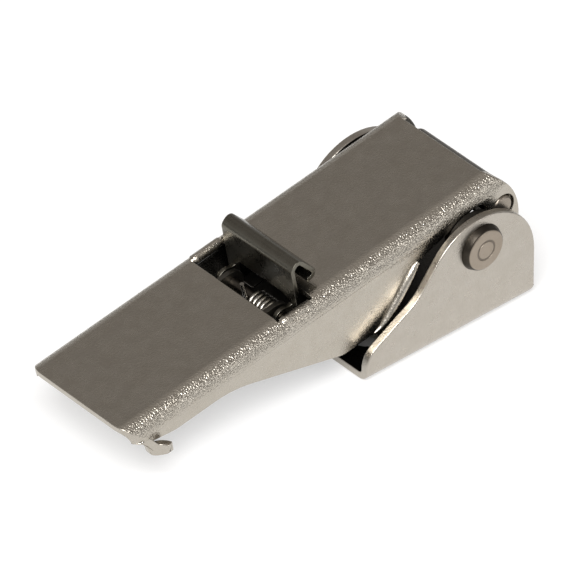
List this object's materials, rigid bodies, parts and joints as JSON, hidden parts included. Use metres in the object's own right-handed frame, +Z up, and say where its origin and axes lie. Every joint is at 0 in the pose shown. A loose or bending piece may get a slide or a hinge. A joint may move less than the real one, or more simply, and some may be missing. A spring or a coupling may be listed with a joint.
{
  "type": "toggle bolt latch",
  "caption": "Over-centre toggle latch in pressed steel: a channel lever pivots between two base ears, draws a hook back and carries a sprung safety catch.",
  "frame": {"origin": "middle of the four mounting holes, on the underside of the base", "axes": "+X from the lever's tip to the pivot end, +Y across to the far side, +Z up out of the mounting face"},
  "size_m": [0.0873, 0.0346, 0.0258],
  "materials": {
    "base_sheet": "satin stainless sheet, tumbled",
    "lever_sheet": "satin stainless sheet, tumbled, speckled at the bends",
    "rivet": "turned, satin",
    "washer": "satin",
    "pin": "turned, satin",
    "hook_sheet": "satin stainless strip",
    "bracket_sheet": "satin",
    "catch_sheet": "satin stainless sheet",
    "spring_wire": "bright drawn wire"
  },
  "bodies": {
    "mounting": {"base": "base_sheet", "pivot_rivet_near": "rivet", "pivot_rivet_far": "rivet", "spacer_washer_near": "washer", "spacer_washer_far": "washer"},
    "lever_unit": {"lever": "lever_sheet", "draw_pin": "pin", "catch_bracket": "bracket_sheet", "catch_pin": "pin", "catch_spring": "spring_wire"},
    "hook": {"draw_hook": "hook_sheet"},
    "safety_catch": {"catch": "catch_sheet"}
  },
  "joints": [
    {"name": "lever_swing", "type": "hinge", "parent": "mounting", "child": "lever_unit", "pos_m": [0.0066, 0, 0.0159], "axis": [0, 1, 0], "range_deg": [0, 110]},
    {"name": "hook_swing", "type": "hinge", "parent": "lever_unit", "child": "hook", "pos_m": [0.01412, 0, 0.01888], "axis": [0, 1, 0], "range_deg": [-104, 0]},
    {"name": "catch_press", "type": "hinge", "parent": "lever_unit", "child": "safety_catch", "pos_m": [-0.02968, 0, 0.01414], "axis": [0, 1, 0], "range_deg": [-8, 5], "stiffness_Nm_per_rad": 0.05, "deforming": ["catch_spring"]}
  ],
  "couplings": [
    {"joint": "hook_swing", "follows": "lever_swing", "ratio": -0.93}
  ]
}
